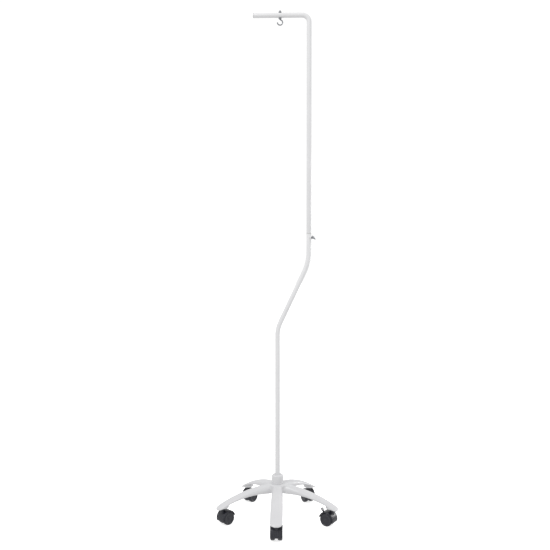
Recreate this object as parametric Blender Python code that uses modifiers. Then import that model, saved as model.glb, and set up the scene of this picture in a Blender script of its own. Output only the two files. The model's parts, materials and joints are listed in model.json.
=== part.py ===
"""Rolling hook stand: a five-legged base on twin-wheel casters, a pole that steps sideways
half way up, and a top section that turns, lifts a little and ends in an arm with a hook.

Metres, +Z up. The base's outline is centred on the origin and the wheels stand on Z = 0.
"""

import math

import bmesh
import bpy
from mathutils import Matrix, Vector

# Driving dimensions, in metres and degrees.
GAP = 0.0003  # between pieces that touch
RUN = 0.00015  # radial clearance of a piece that turns in another

# Base
HUB_Y = 0.0077  # the hub stands this far behind the middle of the outline
STEM_CIRCLE = 0.218  # radius of the circle that the caster stems stand on
PAD_R = 0.024  # inner side of the caster's seat
LEG_REACH = 0.2425  # from the hub's axis to the end of a leg
END_START = 0.214  # where a leg's sides start to close on its end
END_POWER = 3.0  # 2 would make the end elliptical, more makes it squarer
LEG_ROOT_HALF = 0.0201
LEG_WIDENING = 0.0178  # gain in half width per metre of leg
LEG_START = 0.030
CREST_Z = 0.1405
CREST_DROP = 1.28  # the crest falls with the square of the distance from the hub
ARCH_Z = 0.107
ARCH_START = 0.065
ARCH_DROP = 1.565  # and the lower edge with the square of the distance from ARCH_START
WALL_SHARE = 0.25  # share of a leg's height that is upright side wall
HUB_R = 0.038
HUB_TOP = 0.1400
HUB_UNDER = 0.1115
HUB_FLOOR = 0.1160
HUB_BORE_R = 0.0175
SOCKET_Z = 0.0670  # underside of the caster's seat
RIM_SLOPE = 0.35  # outside the stem the seat's rim falls towards the leg's end
SOCKET_TOP = 0.0750
SOCKET_R = 0.0049
RECESS_R = 0.0110  # level recess round the stem
POCKETS = ((0.060, 0.112), (0.118, 0.182))  # start and end of the hollows under a leg
SHELL = 0.0035  # wall left round them

# Pole and arm
TUBE_R = 0.0095
TUBE_WALL = 0.0015
POLE_FOOT = 0.1170
STEP_X = 0.121  # sideways step of the pole
LOW_BEND_Z = 0.742
LOW_BEND_R = 0.115
HIGH_BEND_Z = 0.999
HIGH_BEND_R = 0.190
JOINT_Z = 1.107
RING_HEIGHT = 0.0018
ARM_Z = 1.9448
ARM_END_X = -0.0925
CORNER_R = 0.026
TUBE_SIDES = 20
SPIGOT_R = 0.0076
SPIGOT_WALL = 0.0014
SPIGOT_DOWN = 0.055  # reach of the spigot below the joint
SPIGOT_UP = 0.040
CAP_THICK = 0.0022

# Collar and the bolt that holds the pole
COLLAR_R = 0.0228
COLLAR_TOP = 0.1735
WASHER_R = 0.012
WASHER_THICK = 0.0016
BOLT_R = 0.0039
BOLT_HEAD = 0.0053
BOLT_FLATS = 0.013
FOOT_PLUG_TOP = 0.136

# Lock screw
SCREW_Z = 1.0925
SCREW_YAW = -45.0
SCREW_R = 0.0029
BOSS_R = 0.0055
BOSS_REACH = 0.0148  # distance of the boss's face from the pole's axis
WING_NEAR = 0.0190
WING_FAR = 0.0275
WING_SPAN = 0.022
WING_THICK = 0.0032
WING_HUB_R = 0.0044
WING_TILT = -38.0

# Hook
HOOK_X = 0.0094
HOOK_WIRE_R = 0.0025
HOOK_RING_R = 0.0099
HOOK_DROP = 0.0273  # from the arm's axis to the ring's centre
HOOK_SWEEP = 268.0
HOOK_ABOVE = 0.0160  # shank's end above the arm's axis
NUT_FLATS = 0.010
NUT_THICK = 0.0046
CAP_NUT_THICK = 0.0040  # hexagon under the dome
CAP_NUT_HEIGHT = 0.0087
CAP_NUT_DOME_R = 0.0047

# Casters
WHEEL_R = 0.025
WHEEL_STEPS = 24
WHEEL_IN = 0.0046
WHEEL_OUT = 0.0220
WHEEL_SHOULDER = 0.0045  # width of the slope between the tread and the inner face
AXLE_R = 0.0025
TRAIL = 0.0163  # from the stem's axis to the axle
HOOD_R = 0.0303
WELL_R = 0.0262
HOOD_HALF = 0.0225
WEB_HALF = 0.0038
WEB_BOSS_R = 0.0085
HOOD_CUT_TILT = 16.0
NECK_R = 0.0080
NECK_TOP = 0.0654
NECK_BORE_END = 0.0475
STEM_R = 0.0040
STEM_FLANGE_R = 0.0066
STEM_FLANGE_THICK = 0.0010
STEM_TOP = 0.0746
GRIP_RING_Z = 0.0710
PIVOT_REACH = 0.0205  # brake pivot, from the axle
PIVOT_ANGLE = 35.0
PIN_R = 0.0012
LEVER_HALF = 0.0020
SLOT_HALF = 0.0023
PEDAL_FROM = (0.0366, 0.0508)  # behind the stem and above the floor
PEDAL_TO = (0.0434, 0.0603)
PEDAL_WIDE = 0.0135
PEDAL_THICK = 0.0030

# Each caster's leg azimuth and the way its wheels trail, in degrees.
CASTERS = {
    "front": (-90.0, 90.0),
    "right": (-18.0, 150.0),
    "rear_right": (54.0, 116.0),
    "rear_left": (126.0, 51.0),
    "left": (198.0, 44.0),
}
BRAKED = "right"

# Worked out from the dimensions above.
AXLE_Z = WHEEL_R * math.cos(math.pi / WHEEL_STEPS)
BORE_R = TUBE_R - TUBE_WALL
UPPER_START = JOINT_Z + RING_HEIGHT + 2 * GAP
PIVOT_X = TRAIL + PIVOT_REACH * math.cos(math.radians(PIVOT_ANGLE))
PIVOT_Z = AXLE_Z + PIVOT_REACH * math.sin(math.radians(PIVOT_ANGLE))

# Colour, roughness and metallic value of each material.
FINISHES = {
    "white_paint": ((0.84, 0.84, 0.85), 0.35, 0.0),
    "white_plastic": ((0.80, 0.80, 0.81), 0.45, 0.0),
    "black_plastic": ((0.045, 0.043, 0.048), 0.35, 0.0),
    "grey_tread": ((0.055, 0.053, 0.058), 0.60, 0.0),
    "zinc": ((0.52, 0.53, 0.55), 0.35, 1.0),
    "nylon": ((0.70, 0.70, 0.68), 0.50, 0.0),
}


# ---- Scene and mesh helpers ----


def clear_scene():
    for obj in list(bpy.data.objects):
        bpy.data.objects.remove(obj)
    for collection in list(bpy.data.collections):
        bpy.data.collections.remove(collection)


def new_collection(name):
    collection = bpy.data.collections.new(name)
    bpy.context.scene.collection.children.link(collection)
    return collection


def material(name):
    if name in bpy.data.materials:
        return bpy.data.materials[name]
    colour, roughness, metallic = FINISHES[name]
    made = bpy.data.materials.new(name)
    made.use_nodes = True
    shader = made.node_tree.nodes["Principled BSDF"]
    shader.inputs["Base Color"].default_value = (*colour, 1.0)
    shader.inputs["Roughness"].default_value = roughness
    shader.inputs["Metallic"].default_value = metallic
    return made


def helper(name, mesh):
    """An object that shapes another one and is not itself a part."""
    obj = bpy.data.objects.new(name, mesh)
    obj.hide_render = True
    obj.display_type = "WIRE"
    bpy.data.collections["cutters"].objects.link(obj)
    return obj


def mesh_of(bm, name):
    bmesh.ops.recalc_face_normals(bm, faces=bm.faces)
    mesh = bpy.data.meshes.new(name)
    bm.to_mesh(mesh)
    bm.free()
    return mesh


def baked(obj, name):
    """The object's evaluated mesh, welded and facing outwards. The object itself is removed."""
    bpy.context.view_layer.update()
    graph = bpy.context.evaluated_depsgraph_get()
    evaluated = bpy.data.meshes.new_from_object(obj.evaluated_get(graph))
    bm = bmesh.new()
    bm.from_mesh(evaluated)
    bmesh.ops.remove_doubles(bm, verts=bm.verts, dist=1e-6)
    bpy.data.objects.remove(obj)
    bpy.data.meshes.remove(evaluated)
    return mesh_of(bm, name)


def combined(mesh, operation, others):
    """The mesh after one exact Boolean for each of the other meshes."""
    for number, other in enumerate(others):
        target = helper(f"{mesh.name}_target_{number}", mesh)
        tool = helper(f"{mesh.name}_tool_{number}", other)
        boolean = target.modifiers.new("combine", "BOOLEAN")
        boolean.operation = operation
        boolean.solver = "EXACT"
        boolean.object = tool
        mesh = baked(target, mesh.name)
        bpy.data.objects.remove(tool)
    return mesh


def joined(mesh, *others):
    return combined(mesh, "UNION", others)


def cut(mesh, *others):
    return combined(mesh, "DIFFERENCE", others)


def moved(mesh, matrix):
    mesh.transform(matrix)
    return mesh


def at(x, y, z):
    return Matrix.Translation((x, y, z))


def turn(degrees, axis):
    return Matrix.Rotation(math.radians(degrees), 4, axis)


def cylinder(radius, low, high, sides=24, axis="Z"):
    """A cylinder about the given axis, from low to high along it."""
    bm = bmesh.new()
    bmesh.ops.create_cone(
        bm,
        cap_ends=True,
        segments=sides,
        radius1=radius,
        radius2=radius,
        depth=high - low,
    )
    mesh = mesh_of(bm, "cylinder")
    moved(mesh, at(0, 0, (low + high) / 2))
    if axis == "Y":
        moved(mesh, turn(-90, "X"))
    if axis == "X":
        moved(mesh, turn(90, "Y"))
    return mesh


def box(x, y, z):
    """A box between the two limits given for each axis."""
    bm = bmesh.new()
    bmesh.ops.create_cube(bm, size=1.0)
    mesh = mesh_of(bm, "box")
    size = Matrix.Diagonal((x[1] - x[0], y[1] - y[0], z[1] - z[0], 1.0))
    return moved(mesh, at(sum(x) / 2, sum(y) / 2, sum(z) / 2) @ size)


def turned(name, profile, steps=24):
    """A solid turned about Z from (radius, height) points that start and end on the axis or
    close on themselves."""
    closed = profile[0][0] > 0
    mesh = bpy.data.meshes.new(name)
    points = [(radius, 0.0, height) for radius, height in profile]
    edges = [(i, i + 1) for i in range(len(points) - 1)]
    if closed:
        edges.append((len(points) - 1, 0))
    mesh.from_pydata(points, edges, [])
    obj = helper(name + "_profile", mesh)
    screw = obj.modifiers.new("turn", "SCREW")
    screw.steps = steps
    screw.render_steps = steps
    screw.use_merge_vertices = True
    screw.merge_threshold = 1e-6
    return baked(obj, name)


def loft(name, sections):
    """A closed solid through rings of points that all have the same count."""
    bm = bmesh.new()
    rings = [[bm.verts.new(point) for point in section] for section in sections]
    count = len(rings[0])
    for near, far in zip(rings, rings[1:]):
        for i in range(count):
            j = (i + 1) % count
            bm.faces.new((near[i], near[j], far[j], far[i]))
    bm.faces.new(rings[0])
    bm.faces.new(rings[-1])
    return mesh_of(bm, name)


def hexagon(name, flats, low, high):
    mesh = cylinder(flats / math.sqrt(3), low, high, sides=6)
    mesh.name = name
    return mesh


def smooth(mesh):
    mesh.shade_smooth()
    mesh.set_sharp_from_angle(angle=math.radians(35))
    return mesh


def part(name, mesh, finish, parent=None, place=None):
    """A visible piece with its own material."""
    obj = bpy.data.objects.new(name, smooth(mesh))
    if not mesh.materials:
        mesh.materials.append(material(finish))
    bpy.data.collections["rolling_hook_stand"].objects.link(obj)
    obj.parent = parent
    if place is not None:
        obj.matrix_local = place
    return obj


def pivot(name, matrix, parent=None):
    """An empty that stands on a joint's axis and carries the pieces that move about it."""
    empty = bpy.data.objects.new(name, None)
    empty.empty_display_size = 0.03
    bpy.data.collections["rolling_hook_stand"].objects.link(empty)
    empty.parent = parent
    empty.matrix_local = matrix
    return empty


# ---- Tubes ----


def rounded_route(corners, radii, steps):
    """The corners' route as points, with each inner corner replaced by an arc."""
    points = [Vector(corners[0])]
    for before, corner, after, radius in zip(corners, corners[1:], corners[2:], radii):
        corner = Vector(corner)
        back = (Vector(before) - corner).normalized()
        ahead = (Vector(after) - corner).normalized()
        half = back.angle(ahead) / 2
        centre = corner + (back + ahead).normalized() * radius / math.sin(half)
        start = corner + back * radius / math.tan(half) - centre
        end = corner + ahead * radius / math.tan(half) - centre
        for i in range(steps + 1):
            points.append(centre + radius * start.slerp(end, i / steps))
    points.append(Vector(corners[-1]))
    return points


def swept(name, points, radius, sides, caps):
    """A round section carried along the points."""
    curve = bpy.data.curves.new(name + "_route", "CURVE")
    curve.dimensions = "3D"
    curve.bevel_depth = radius
    curve.bevel_resolution = (sides - 4) // 2
    curve.use_fill_caps = caps
    spline = curve.splines.new("POLY")
    spline.points.add(len(points) - 1)
    for knot, point in zip(spline.points, points):
        knot.co = (*point, 1.0)
    return baked(helper(name + "_route", curve), name)


def tube(name, points, radius, wall):
    shell = helper(name + "_shell", swept(name, points, radius, TUBE_SIDES, False))
    thick = shell.modifiers.new("wall", "SOLIDIFY")
    thick.thickness = wall
    thick.offset = -1.0
    thick.use_even_offset = True
    return baked(shell, name)


# ---- Base ----


def crest(r):
    return CREST_Z - CREST_DROP * r**2


def arch(r):
    return ARCH_Z - ARCH_DROP * max(0.0, r - ARCH_START) ** 2


def rim(r):
    return SOCKET_Z - RIM_SLOPE * max(0.0, r - STEM_CIRCLE)


def leg_half(r):
    straight = LEG_ROOT_HALF + LEG_WIDENING * min(r, END_START)
    share = max(0.0, r - END_START) / (LEG_REACH - END_START)
    return straight * (1 - share**END_POWER) ** (1 / END_POWER)


def leg_section(r, half, low, high, crown_steps=8):
    """A flat bottom, upright walls and an elliptical crown, at the distance r from the hub."""
    shoulder = low + WALL_SHARE * (high - low)
    section = [(r, -half, low), (r, half, low)]
    for i in range(crown_steps + 1):
        angle = math.pi * i / crown_steps
        height = shoulder + (high - shoulder) * math.sin(angle)
        section.append((r, half * math.cos(angle), height))
    return section


def leg_mesh():
    stations = [LEG_START + (END_START - LEG_START) * i / 9 for i in range(10)]
    stations += [END_START + (LEG_REACH - END_START) * s for s in (0.4, 0.62, 0.8, 0.92, 0.98, 0.998)]
    sections = []
    for r in stations:
        low = max(arch(r), rim(r) + GAP / 2)
        sections.append(leg_section(r, leg_half(r), low, crest(r)))
    return loft("leg", sections)


def pad_mesh():
    """The seat for a caster stem under the end of a leg, round on its inner side."""
    sections = []
    for step in (-0.99, -0.93, -0.80, -0.58, -0.30, 0.0, 0.35, 0.60, 0.80, 0.93):
        r = STEM_CIRCLE + PAD_R * step
        half = min(leg_half(r), PAD_R * math.sqrt(1 - min(0.0, step) ** 2)) - GAP
        sections.append(leg_section(r, half, rim(r), crest(r) - 0.0015, 6))
    return loft("pad", sections)


def pocket_mesh(start, end):
    sections = []
    for i in range(4):
        r = start + (end - start) * i / 3
        top = crest(r) - SHELL
        sections.append(leg_section(r, leg_half(r) - SHELL, arch(r) - 0.006, top, 4))
    return loft("pocket", sections)


def base_mesh():
    base = cylinder(HUB_R, HUB_UNDER, HUB_TOP, sides=40)
    base.name = "five_star_base"
    azimuths = [leg for leg, _ in CASTERS.values()]
    for azimuth in azimuths:
        spin = turn(azimuth, "Z")
        base = joined(base, moved(leg_mesh(), spin), moved(pad_mesh(), spin))
    for azimuth in azimuths:
        spin = turn(azimuth, "Z")
        socket = cylinder(SOCKET_R, SOCKET_Z - 0.01, SOCKET_TOP)
        recess = cylinder(RECESS_R, SOCKET_Z - 0.012, SOCKET_Z + 0.00005)
        pockets = [moved(pocket_mesh(*ends), spin) for ends in POCKETS]
        stem = spin @ at(STEM_CIRCLE, 0, 0)
        base = cut(base, moved(recess, stem), moved(socket, stem), *pockets)
    bore = cylinder(HUB_BORE_R, HUB_FLOOR, HUB_TOP + 0.01, sides=32)
    return cut(base, bore, cylinder(BOLT_R + 0.0006, HUB_UNDER - 0.01, HUB_FLOOR + 0.01))


def bush_mesh():
    """Collar with a plug that fills the hub's bore round the pole."""
    inner = TUBE_R + RUN
    plug = HUB_BORE_R - GAP
    low = HUB_FLOOR + GAP
    seat = HUB_TOP + GAP
    profile = [
        (inner, COLLAR_TOP - 0.0008),
        (inner + 0.0010, COLLAR_TOP),
        (COLLAR_R - 0.0042, COLLAR_TOP),
        (COLLAR_R - 0.0014, COLLAR_TOP - 0.0012),
        (COLLAR_R - 0.0002, COLLAR_TOP - 0.0040),
        (COLLAR_R, seat),
        (plug, seat),
        (plug - 0.0008, low),
        (inner, low),
    ]
    return turned("pole_socket_bush", profile, steps=32)


def foot_plug_mesh():
    """Threaded insert in the pole's lower end; its thread is left as a plain bore."""
    bore = BOLT_R + RUN
    outer = BORE_R - RUN
    low = POLE_FOOT + GAP
    profile = [(bore, FOOT_PLUG_TOP), (outer, FOOT_PLUG_TOP), (outer, low), (bore, low)]
    return turned("foot_plug", profile, steps=20)


def add_base(root):
    hub = pivot("hub_axis", at(0, HUB_Y, 0), root)
    part("five_star_base", base_mesh(), "white_plastic", hub)
    part("pole_socket_bush", bush_mesh(), "white_plastic", hub)
    part("foot_plug", foot_plug_mesh(), "zinc", hub)
    washer_top = HUB_UNDER - GAP
    washer_low = washer_top - WASHER_THICK
    hole = BOLT_R + GAP
    ring = [(hole, washer_top), (WASHER_R, washer_top), (WASHER_R, washer_low), (hole, washer_low)]
    part("foot_washer", turned("foot_washer", ring), "zinc", hub)
    head_top = washer_low - GAP
    head = hexagon("foot_bolt", BOLT_FLATS, head_top - BOLT_HEAD, head_top)
    bolt = joined(head, cylinder(BOLT_R, head_top - 0.001, FOOT_PLUG_TOP - 0.003))
    part("foot_bolt", bolt, "zinc", hub)
    return hub


# ---- Pole ----


def screw_frame():
    """Places a piece made along +X, from the pole's axis, on the lock screw's axis."""
    return at(STEP_X, 0, SCREW_Z) @ turn(SCREW_YAW, "Z")


def lower_pole_mesh():
    corners = [
        (0, 0, POLE_FOOT),
        (0, 0, LOW_BEND_Z),
        (STEP_X, 0, HIGH_BEND_Z),
        (STEP_X, 0, JOINT_Z),
    ]
    route = rounded_route(corners, (LOW_BEND_R, HIGH_BEND_R), 8)
    pole = tube("lower_pole", route, TUBE_R, TUBE_WALL)
    hole = cylinder(SCREW_R + GAP, BORE_R - 0.003, TUBE_R + 0.003, sides=16, axis="X")
    return cut(pole, moved(hole, screw_frame()))


def upper_pole_mesh():
    corners = [(STEP_X, 0, UPPER_START), (STEP_X, 0, ARM_Z), (ARM_END_X, 0, ARM_Z)]
    pole = tube("upper_pole", rounded_route(corners, (CORNER_R,), 10), TUBE_R, TUBE_WALL)
    hole = cylinder(HOOK_WIRE_R + 2 * GAP, -0.02, 0.02, sides=16)
    return cut(pole, moved(hole, at(HOOK_X, 0, ARM_Z)))


def boss_mesh():
    """Weld nut for the lock screw, hollowed to sit on the tube."""
    boss = cylinder(BOSS_R, TUBE_R - 0.002, BOSS_REACH, axis="X")
    boss.name = "lock_boss"
    hole = cylinder(SCREW_R + RUN, 0, BOSS_REACH + 0.01, sides=16, axis="X")
    return cut(boss, cylinder(TUBE_R + GAP, -0.02, 0.02, sides=40), hole)


def lock_screw_mesh():
    start = BORE_R + 0.0027
    shank = cylinder(SCREW_R, start, WING_NEAR + 0.002, sides=16, axis="X")
    shank.name = "lock_screw"
    head = cylinder(WING_HUB_R, WING_NEAR - 0.001, WING_FAR - 0.002, sides=20, axis="X")
    half = WING_SPAN / 2
    wing = [
        (WING_NEAR, -0.0030),
        (WING_FAR - 0.0015, -half),
        (WING_FAR, -half + 0.0012),
        (WING_FAR, -half + 0.0045),
        (WING_FAR - 0.0035, -0.0020),
        (WING_FAR - 0.0035, 0.0020),
        (WING_FAR, half - 0.0045),
        (WING_FAR, half - 0.0012),
        (WING_FAR - 0.0015, half),
        (WING_NEAR, 0.0030),
    ]
    thick = WING_THICK / 2
    sides = [[(x, side, z) for x, z in wing] for side in (-thick, thick)]
    wings = moved(loft("wings", sides), turn(90 + WING_TILT, "X"))
    return joined(shank, head, wings)


def add_pole(hub):
    part("lower_pole", lower_pole_mesh(), "white_paint", hub)
    part("lock_boss", moved(boss_mesh(), screw_frame()), "white_paint", hub)
    screw_axis = pivot("lock_screw_axis", screw_frame(), hub)
    pad = cylinder(SCREW_R - GAP, SPIGOT_R + GAP, BORE_R + 0.0024, sides=16, axis="X")
    part("lock_pad", pad, "nylon", screw_axis)
    part("lock_screw", lock_screw_mesh(), "zinc", screw_axis)

    turning = pivot("pole_turn_axis", at(STEP_X, 0, 0), hub)
    ring_low = JOINT_Z + GAP
    ring_top = ring_low + RING_HEIGHT
    ring_in = SPIGOT_R + RUN
    ring_out = TUBE_R + 0.0002
    ring = [(ring_in, ring_top), (ring_out, ring_top), (ring_out, ring_low), (ring_in, ring_low)]
    part("pole_joint_ring", turned("pole_joint_ring", ring), "nylon", turning)
    spigot_in = SPIGOT_R - SPIGOT_WALL
    top = JOINT_Z + SPIGOT_UP
    low = JOINT_Z - SPIGOT_DOWN
    sleeve = [(spigot_in, top), (SPIGOT_R, top), (SPIGOT_R, low), (spigot_in, low)]
    part("pole_spigot", turned("pole_spigot", sleeve, steps=20), "zinc", turning)
    part("upper_pole", upper_pole_mesh(), "white_paint", turning, at(-STEP_X, 0, 0))

    plug_r = BORE_R - GAP
    cap = [
        (0, CAP_THICK),
        (TUBE_R - 0.0025, CAP_THICK),
        (TUBE_R - 0.0005, CAP_THICK - 0.0012),
        (TUBE_R, GAP),
        (plug_r, GAP),
        (plug_r - 0.0004, -0.010),
        (0, -0.010),
    ]
    outwards = at(ARM_END_X - STEP_X, 0, ARM_Z) @ turn(-90, "Y")
    part("arm_end_cap", turned("arm_end_cap", cap, steps=20), "white_plastic", turning, outwards)
    return turning


# ---- Hook ----


def hook_mesh():
    """Bent wire: a straight shank and an open ring, about the shank's axis."""
    centre = Vector((0, 0, ARM_Z - HOOK_DROP))
    points = [Vector((0, 0, ARM_Z + HOOK_ABOVE)), Vector((0, 0, ARM_Z - 0.009))]
    steps = 18
    for i in range(steps + 1):
        angle = math.radians(90 - HOOK_SWEEP * i / steps)
        points.append(centre + HOOK_RING_R * Vector((math.cos(angle), 0, math.sin(angle))))
    return swept("hook", points, HOOK_WIRE_R, 12, True)


def nut_mesh(name, low):
    nut = hexagon(name, NUT_FLATS, low, low + NUT_THICK)
    return cut(nut, cylinder(HOOK_WIRE_R + RUN, low - 0.01, low + 0.02, sides=16))


def cap_nut_mesh(low):
    """Nut with a dome that closes over the end of the shank."""
    dome_rise = CAP_NUT_HEIGHT - CAP_NUT_THICK
    dome = [(0, low + 0.0010), (CAP_NUT_DOME_R, low + 0.0010)]
    for degrees in (0, 20, 40, 58, 74, 90):
        angle = math.radians(degrees)
        height = low + CAP_NUT_THICK + dome_rise * math.sin(angle)
        dome.append((CAP_NUT_DOME_R * math.cos(angle) if degrees < 90 else 0, height))
    nut = hexagon("hook_nut_top", NUT_FLATS, low, low + CAP_NUT_THICK)
    nut = joined(nut, turned("dome", dome, steps=20))
    end = ARM_Z + HOOK_ABOVE + 2 * GAP
    return cut(nut, cylinder(HOOK_WIRE_R + RUN, low - 0.01, end, sides=16))


def add_hook(turning):
    axis = pivot("hook_turn_axis", at(HOOK_X - STEP_X, 0, 0), turning)
    part("hook", hook_mesh(), "zinc", axis)
    part("hook_nut_top", cap_nut_mesh(ARM_Z + TUBE_R + GAP), "zinc", axis)
    under = ARM_Z - TUBE_R - GAP - NUT_THICK
    part("hook_nut_under", nut_mesh("hook_nut_under", under), "zinc", axis)


# ---- Casters ----


def stem_mesh():
    """Caster stem: a plug for the base's socket, a flange and the hood's pivot."""
    flange_top = SOCKET_Z - GAP
    flange_low = flange_top - STEM_FLANGE_THICK
    neck = STEM_R - 0.0006
    profile = [
        (0, STEM_TOP),
        (STEM_R - 0.0006, STEM_TOP),
        (STEM_R, STEM_TOP - 0.0006),
        (STEM_R, GRIP_RING_Z + 0.0012),
        (neck, GRIP_RING_Z + 0.0012),
        (neck, GRIP_RING_Z - 0.0012),
        (STEM_R, GRIP_RING_Z - 0.0012),
        (STEM_R, flange_top),
        (STEM_FLANGE_R, flange_top),
        (STEM_FLANGE_R, flange_low),
        (STEM_R, flange_low),
        (STEM_R, NECK_BORE_END + GAP),
        (0, NECK_BORE_END + GAP),
    ]
    return turned("caster_stem", profile, steps=16)


def grip_ring_mesh():
    """Sprung ring, open on one side, that holds the stem in its socket."""
    inner = STEM_R - 0.0006 + GAP
    outer = SOCKET_R - GAP / 2
    top = GRIP_RING_Z + 0.0009
    low = GRIP_RING_Z - 0.0009
    ring = turned("grip_ring", [(inner, top), (outer, top), (outer, low), (inner, low)], 16)
    return cut(ring, box((0, 0.01), (-0.0008, 0.0008), (low - 0.001, top + 0.001)))


def hood_mesh(braked):
    """Housing between and over the wheels: a web, a fender and the neck round the stem."""
    to_axle = at(TRAIL, 0, AXLE_Z)
    hood = moved(cylinder(HOOD_R, -HOOD_HALF, HOOD_HALF, sides=40, axis="Y"), to_axle)
    hood.name = "caster_hood"
    below = box((-0.08, 0.08), (-0.03, 0.03), (-0.08, 0))
    hood = cut(hood, moved(below, to_axle @ turn(-HOOD_CUT_TILT, "Y")))
    web_boss = cylinder(WEB_BOSS_R, -WEB_HALF, WEB_HALF, axis="Y")
    hood = joined(hood, cylinder(NECK_R, 0.040, NECK_TOP), moved(web_boss, to_axle))
    wells = [cylinder(WELL_R, WEB_HALF, 0.03, sides=36, axis="Y") for _ in range(2)]
    moved(wells[1], turn(180, "X"))
    hood = cut(hood, *[moved(well, to_axle) for well in wells])
    axle_bore = cylinder(AXLE_R + RUN / 2, -0.03, 0.03, sides=16, axis="Y")
    hood = cut(hood, moved(axle_bore, to_axle))
    hood = cut(hood, cylinder(STEM_R + RUN, NECK_BORE_END, NECK_TOP + 0.01, sides=16))
    if not braked:
        return hood
    slot = box((PIVOT_X - 0.0052, 0.07), (-SLOT_HALF, SLOT_HALF), (PIVOT_Z - 0.0052, 0.07))
    pin_bore = cylinder(PIN_R + RUN, -0.01, 0.01, sides=12, axis="Y")
    return cut(hood, slot, moved(pin_bore, at(PIVOT_X, 0, PIVOT_Z)))


def wheel_mesh():
    """One wheel about Z, from its inner face to its outer one, with a blind axle bore."""
    bore = AXLE_R + RUN
    dish = WHEEL_OUT - 0.0014
    profile = [
        (0, dish),
        (0.0180, dish),
        (0.0190, WHEEL_OUT),
        (WHEEL_R - 0.0035, WHEEL_OUT),
        (WHEEL_R, WHEEL_OUT - 0.0035),
        (WHEEL_R, WHEEL_IN + WHEEL_SHOULDER),
        (WHEEL_R - WHEEL_SHOULDER / 3, WHEEL_IN + WHEEL_SHOULDER / 3),
        (WHEEL_R - WHEEL_SHOULDER, WHEEL_IN),
        (bore, WHEEL_IN),
        (bore, WHEEL_OUT - 0.0050),
        (0, WHEEL_OUT - 0.0050),
    ]
    wheel = turned("caster_wheel", profile, steps=WHEEL_STEPS)
    return moved(wheel, turn(180 / WHEEL_STEPS, "Z"))


def lever_mesh():
    """Brake lever about its pin, with its pedal leaning back behind the hood."""
    start = Vector(PEDAL_FROM) - Vector((PIVOT_X, PIVOT_Z))
    run = Vector(PEDAL_TO) - Vector(PEDAL_FROM)
    start_angle = math.degrees(math.atan2(start.y, start.x))
    run_angle = math.degrees(math.atan2(run.y, run.x))
    lever = cylinder(0.0040, -LEVER_HALF, LEVER_HALF, sides=20, axis="Y")
    lever.name = "brake_lever"
    side = LEVER_HALF - 1e-5
    leaf = box((0, start.length + 0.001), (-side, side), (-0.0025, 0.0025))
    wide = PEDAL_WIDE / 2
    pedal = box((0, run.length), (-wide, wide), (-PEDAL_THICK / 2, PEDAL_THICK / 2))
    moved(pedal, at(start.x, 0, start.y) @ turn(-run_angle, "Y"))
    lever = joined(lever, moved(leaf, turn(-start_angle, "Y")), pedal)
    return cut(lever, cylinder(PIN_R + RUN, -0.01, 0.01, sides=12, axis="Y"))


def add_casters(hub):
    stem = stem_mesh()
    ring = grip_ring_mesh()
    hoods = {False: hood_mesh(False), True: hood_mesh(True)}
    wheel = wheel_mesh()
    axle_half = WHEEL_OUT - 0.0050 - GAP
    axle = cylinder(AXLE_R, -axle_half, axle_half, sides=16, axis="Y")
    for name, (azimuth, trail_yaw) in CASTERS.items():
        place = turn(azimuth, "Z") @ at(STEM_CIRCLE, 0, 0) @ turn(trail_yaw - azimuth, "Z")
        swivel = pivot(f"{name}_swivel_axis", place, hub)
        part(f"{name}_caster_stem", stem, "zinc", swivel)
        part(f"{name}_grip_ring", ring, "zinc", swivel)
        part(f"{name}_caster_hood", hoods[name == BRAKED], "black_plastic", swivel)
        wheel_axis = pivot(f"{name}_wheel_axis", at(TRAIL, 0, AXLE_Z), swivel)
        part(f"{name}_axle", axle, "zinc", wheel_axis)
        part(f"{name}_wheel_a", wheel, "grey_tread", wheel_axis, turn(-90, "X"))
        part(f"{name}_wheel_b", wheel, "grey_tread", wheel_axis, turn(90, "X"))
        if name == BRAKED:
            brake = pivot("brake_axis", at(PIVOT_X, 0, PIVOT_Z), swivel)
            part("brake_lever", lever_mesh(), "black_plastic", brake)
            pin = cylinder(PIN_R, -WEB_HALF + GAP, WEB_HALF - GAP, sides=12, axis="Y")
            part("brake_pin", pin, "zinc", brake)


def main():
    clear_scene()
    new_collection("rolling_hook_stand")
    new_collection("cutters").hide_render = True
    root = pivot("stand", Matrix.Identity(4))
    hub = add_base(root)
    turning = add_pole(hub)
    add_hook(turning)
    add_casters(hub)


main()
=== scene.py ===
"""The looks of a rolling hook stand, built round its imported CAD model."""

import json
import math

import bmesh
import bpy
from mathutils import Matrix, Vector

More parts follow.
